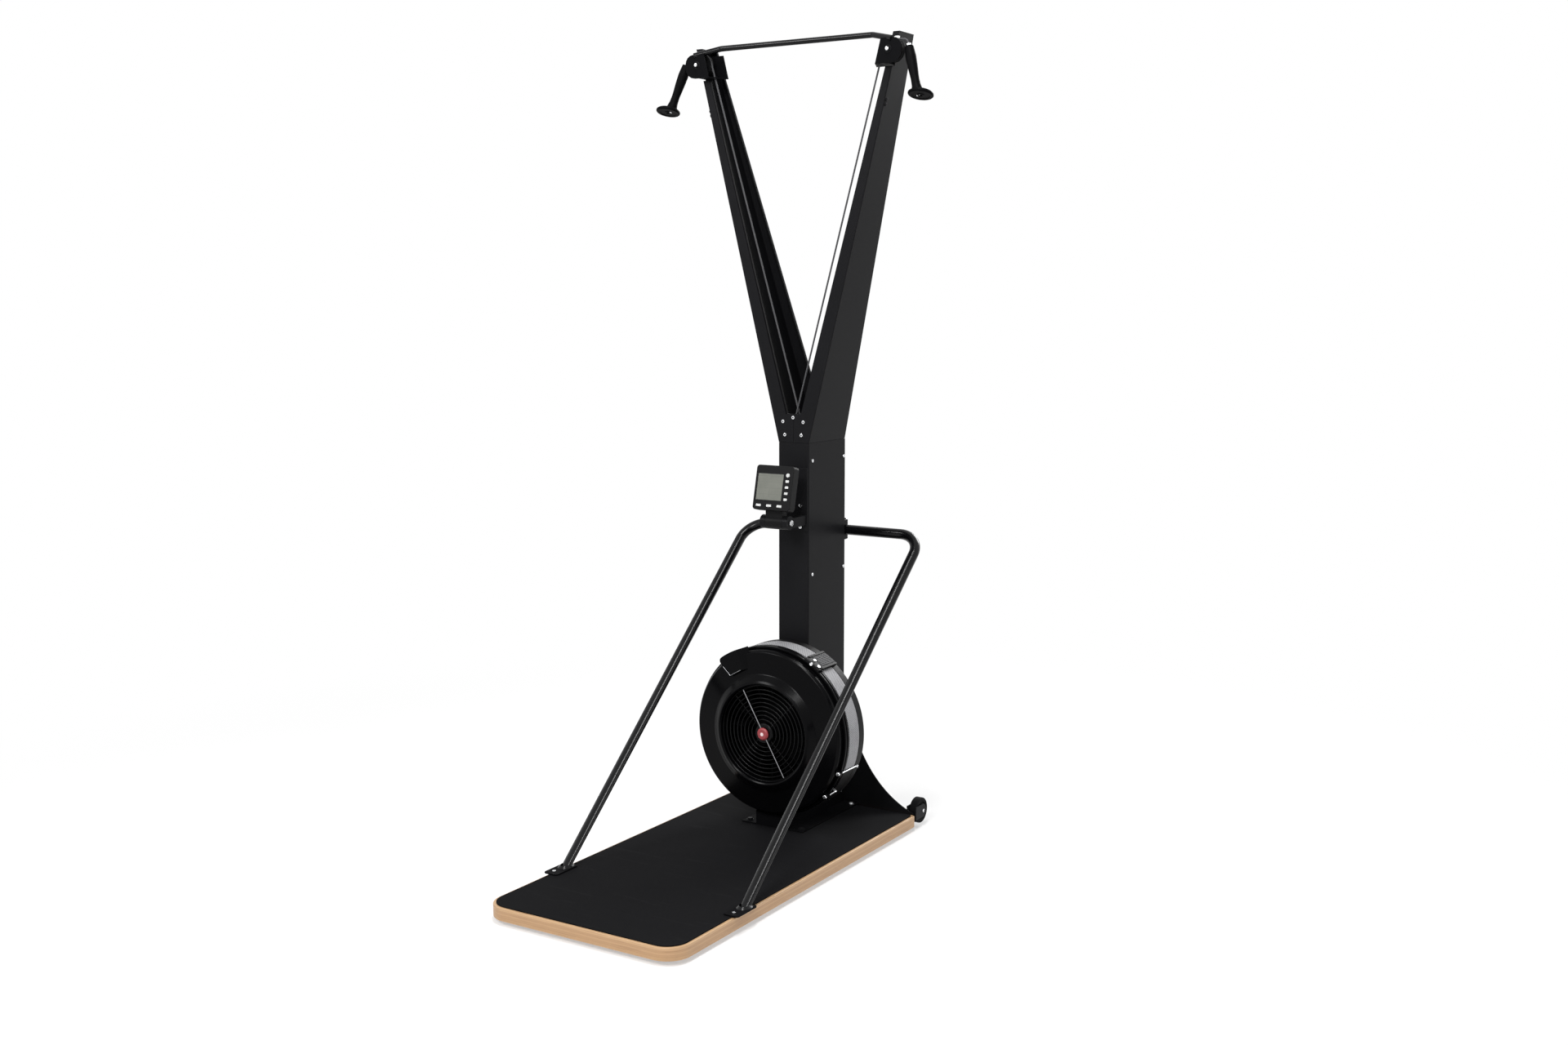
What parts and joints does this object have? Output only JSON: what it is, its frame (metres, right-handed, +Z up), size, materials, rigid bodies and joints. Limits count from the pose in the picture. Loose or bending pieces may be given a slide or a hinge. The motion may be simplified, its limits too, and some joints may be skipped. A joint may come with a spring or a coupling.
{
  "type": "ski ergometer",
  "caption": "Standing ski exercise machine: wooden deck, column with V arms, caged air flywheel, cord handles, stay tube and tilting monitor.",
  "frame": {"origin": "centre of the footprint's bounding box, on the floor", "axes": "+Z up, +Y from the user towards the column, +X to the user's right"},
  "size_m": [0.8928, 1.317, 2.288],
  "materials": {
    "oak_edge": "satin varnish",
    "deck_rubber": "fine grain",
    "foot_rubber": "matte",
    "black_coat": "satin powder coat",
    "zinc": "bright zinc",
    "steel": "satin",
    "cord": "braided",
    "gloss_plastic": "gloss",
    "matte_plastic": "fine texture",
    "grey_screen": "perforated sheet",
    "red_cap": "gloss",
    "display": "flat window",
    "button_grey": "matte"
  },
  "bodies": {
    "frame": {"deck_board": "oak_edge", "deck_mat": "deck_rubber", "front_left_foot": "foot_rubber", "front_right_foot": "foot_rubber", "rear_left_foot": "foot_rubber", "rear_right_foot": "foot_rubber", "column_shell": "black_coat", "column_rear_cover": "black_coat", "left_arm": "black_coat", "right_arm": "black_coat", "arm_joint_plate": "zinc", "stay_frame": "black_coat", "stay_clamp": "black_coat", "rear_gusset": "black_coat", "base_bracket": "black_coat", "top_crossbar": "black_coat", "left_pulley_housing": "black_coat", "right_pulley_housing": "black_coat", "left_pulley_axle": "zinc", "right_pulley_axle": "zinc", "left_pull_cord": "cord", "right_pull_cord": "cord", "bearing_frame": "black_coat", "left_recoil_spring": "steel", "right_recoil_spring": "steel", "housing_front_cover": "gloss_plastic", "housing_rear_cover": "matte_plastic", "housing_screen": "grey_screen", "intake_grille": "matte_plastic", "hub_cap": "red_cap", "monitor_mount": "black_coat", "hinge_pin": "zinc"},
    "left_handle_body": {"left_handle": "matte_plastic", "left_handle_core": "zinc", "left_cord_lead": "cord"},
    "left_top_pulley_body": {"left_top_pulley": "matte_plastic"},
    "left_guide_pulley_body": {"left_guide_pulley": "matte_plastic"},
    "left_drum_body": {"left_drum": "steel"},
    "right_handle_body": {"right_handle": "matte_plastic", "right_handle_core": "zinc", "right_cord_lead": "cord"},
    "right_top_pulley_body": {"right_top_pulley": "matte_plastic"},
    "right_guide_pulley_body": {"right_guide_pulley": "matte_plastic"},
    "right_drum_body": {"right_drum": "steel"},
    "flywheel": {"drive_shaft": "steel", "flywheel_fan": "steel"},
    "damper": {"damper_ring": "gloss_plastic", "damper_grip": "matte_plastic"},
    "monitor": {"monitor_case": "matte_plastic", "monitor_display": "display"},
    "button_1": {"monitor_button_1": "button_grey"},
    "button_2": {"monitor_button_2": "button_grey"},
    "button_3": {"monitor_button_3": "button_grey"},
    "button_4": {"monitor_button_4": "button_grey"},
    "button_5": {"monitor_button_5": "button_grey"},
    "button_6": {"monitor_button_6": "button_grey"},
    "button_7": {"monitor_button_7": "button_grey"},
    "button_8": {"monitor_button_8": "button_grey"},
    "left_wheel_body": {"left_wheel": "foot_rubber"},
    "right_wheel_body": {"right_wheel": "foot_rubber"}
  },
  "joints": [
    {"name": "left_handle_pull", "type": "slide", "parent": "frame", "child": "left_handle_body", "axis": [0, 0, -1], "range_m": [0, 1.2], "stiffness_N_per_m": 10, "springref_m": -2, "deforming": ["left_cord_lead"]},
    {"name": "left_top_pulley_spin", "type": "hinge", "parent": "frame", "child": "left_top_pulley_body", "pos_m": [-0.311, 0.3695, 2.235], "axis": [0, 1, 0], "continuous": true},
    {"name": "left_guide_pulley_spin", "type": "hinge", "parent": "frame", "child": "left_guide_pulley_body", "pos_m": [-0.014, 0.3975, 1.212], "axis": [0, 1, 0], "continuous": true},
    {"name": "left_drum_spin", "type": "hinge", "parent": "frame", "child": "left_drum_body", "pos_m": [0, 0.4525, 0.3386], "axis": [0, 1, 0], "continuous": true},
    {"name": "right_handle_pull", "type": "slide", "parent": "frame", "child": "right_handle_body", "axis": [0, 0, -1], "range_m": [0, 1.2], "stiffness_N_per_m": 10, "springref_m": -2, "deforming": ["right_cord_lead"]},
    {"name": "right_top_pulley_spin", "type": "hinge", "parent": "frame", "child": "right_top_pulley_body", "pos_m": [0.311, 0.3695, 2.235], "axis": [0, 1, 0], "continuous": true},
    {"name": "right_guide_pulley_spin", "type": "hinge", "parent": "frame", "child": "right_guide_pulley_body", "pos_m": [0.014, 0.3815, 1.212], "axis": [0, 1, 0], "continuous": true},
    {"name": "right_drum_spin", "type": "hinge", "parent": "frame", "child": "right_drum_body", "pos_m": [0, 0.4075, 0.3386], "axis": [0, 1, 0], "continuous": true},
    {"name": "flywheel_spin", "type": "hinge", "parent": "frame", "child": "flywheel", "pos_m": [0, 0.2815, 0.3386], "axis": [0, 1, 0], "continuous": true},
    {"name": "damper_turn", "type": "hinge", "parent": "frame", "child": "damper", "pos_m": [0, 0.2595, 0.3386], "axis": [0, 1, 0], "range_deg": [-40, 20]},
    {"name": "monitor_tilt", "type": "hinge", "parent": "frame", "child": "monitor", "pos_m": [0, 0.2725, 0.941], "axis": [1, 0, 0], "range_deg": [-20, 15]},
    {"name": "button_1_press", "type": "slide", "parent": "monitor", "child": "button_1", "axis": [0, 0.9744, -0.225], "range_m": [0, 0.001], "stiffness_N_per_m": 200},
    {"name": "button_2_press", "type": "slide", "parent": "monitor", "child": "button_2", "axis": [0, 0.9744, -0.225], "range_m": [0, 0.001], "stiffness_N_per_m": 200},
    {"name": "button_3_press", "type": "slide", "parent": "monitor", "child": "button_3", "axis": [0, 0.9744, -0.225], "range_m": [0, 0.001], "stiffness_N_per_m": 200},
    {"name": "button_4_press", "type": "slide", "parent": "monitor", "child": "button_4", "axis": [0, 0.9744, -0.225], "range_m": [0, 0.001], "stiffness_N_per_m": 200},
    {"name": "button_5_press", "type": "slide", "parent": "monitor", "child": "button_5", "axis": [0, 0.9744, -0.225], "range_m": [0, 0.001], "stiffness_N_per_m": 200},
    {"name": "button_6_press", "type": "slide", "parent": "monitor", "child": "button_6", "axis": [0, 0.9744, -0.225], "range_m": [0, 0.001], "stiffness_N_per_m": 200},
    {"name": "button_7_press", "type": "slide", "parent": "monitor", "child": "button_7", "axis": [0, 0.9744, -0.225], "range_m": [0, 0.001], "stiffness_N_per_m": 200},
    {"name": "button_8_press", "type": "slide", "parent": "monitor", "child": "button_8", "axis": [0, 0.9744, -0.225], "range_m": [0, 0.001], "stiffness_N_per_m": 200},
    {"name": "left_wheel_spin", "type": "hinge", "parent": "frame", "child": "left_wheel_body", "pos_m": [-0.283, 0.6205, 0.05], "axis": [1, 0, 0], "continuous": true},
    {"name": "right_wheel_spin", "type": "hinge", "parent": "frame", "child": "right_wheel_body", "pos_m": [0.283, 0.6205, 0.05], "axis": [1, 0, 0], "continuous": true}
  ],
  "couplings": [
    {"joint": "left_top_pulley_spin", "follows": "left_handle_pull", "rad_per_m": -32.68},
    {"joint": "left_guide_pulley_spin", "follows": "left_handle_pull", "rad_per_m": -45.455},
    {"joint": "left_drum_spin", "follows": "left_handle_pull", "rad_per_m": -26.316},
    {"joint": "right_top_pulley_spin", "follows": "right_handle_pull", "rad_per_m": 32.68},
    {"joint": "right_guide_pulley_spin", "follows": "right_handle_pull", "rad_per_m": 45.455},
    {"joint": "right_drum_spin", "follows": "right_handle_pull", "rad_per_m": -26.316}
  ]
}
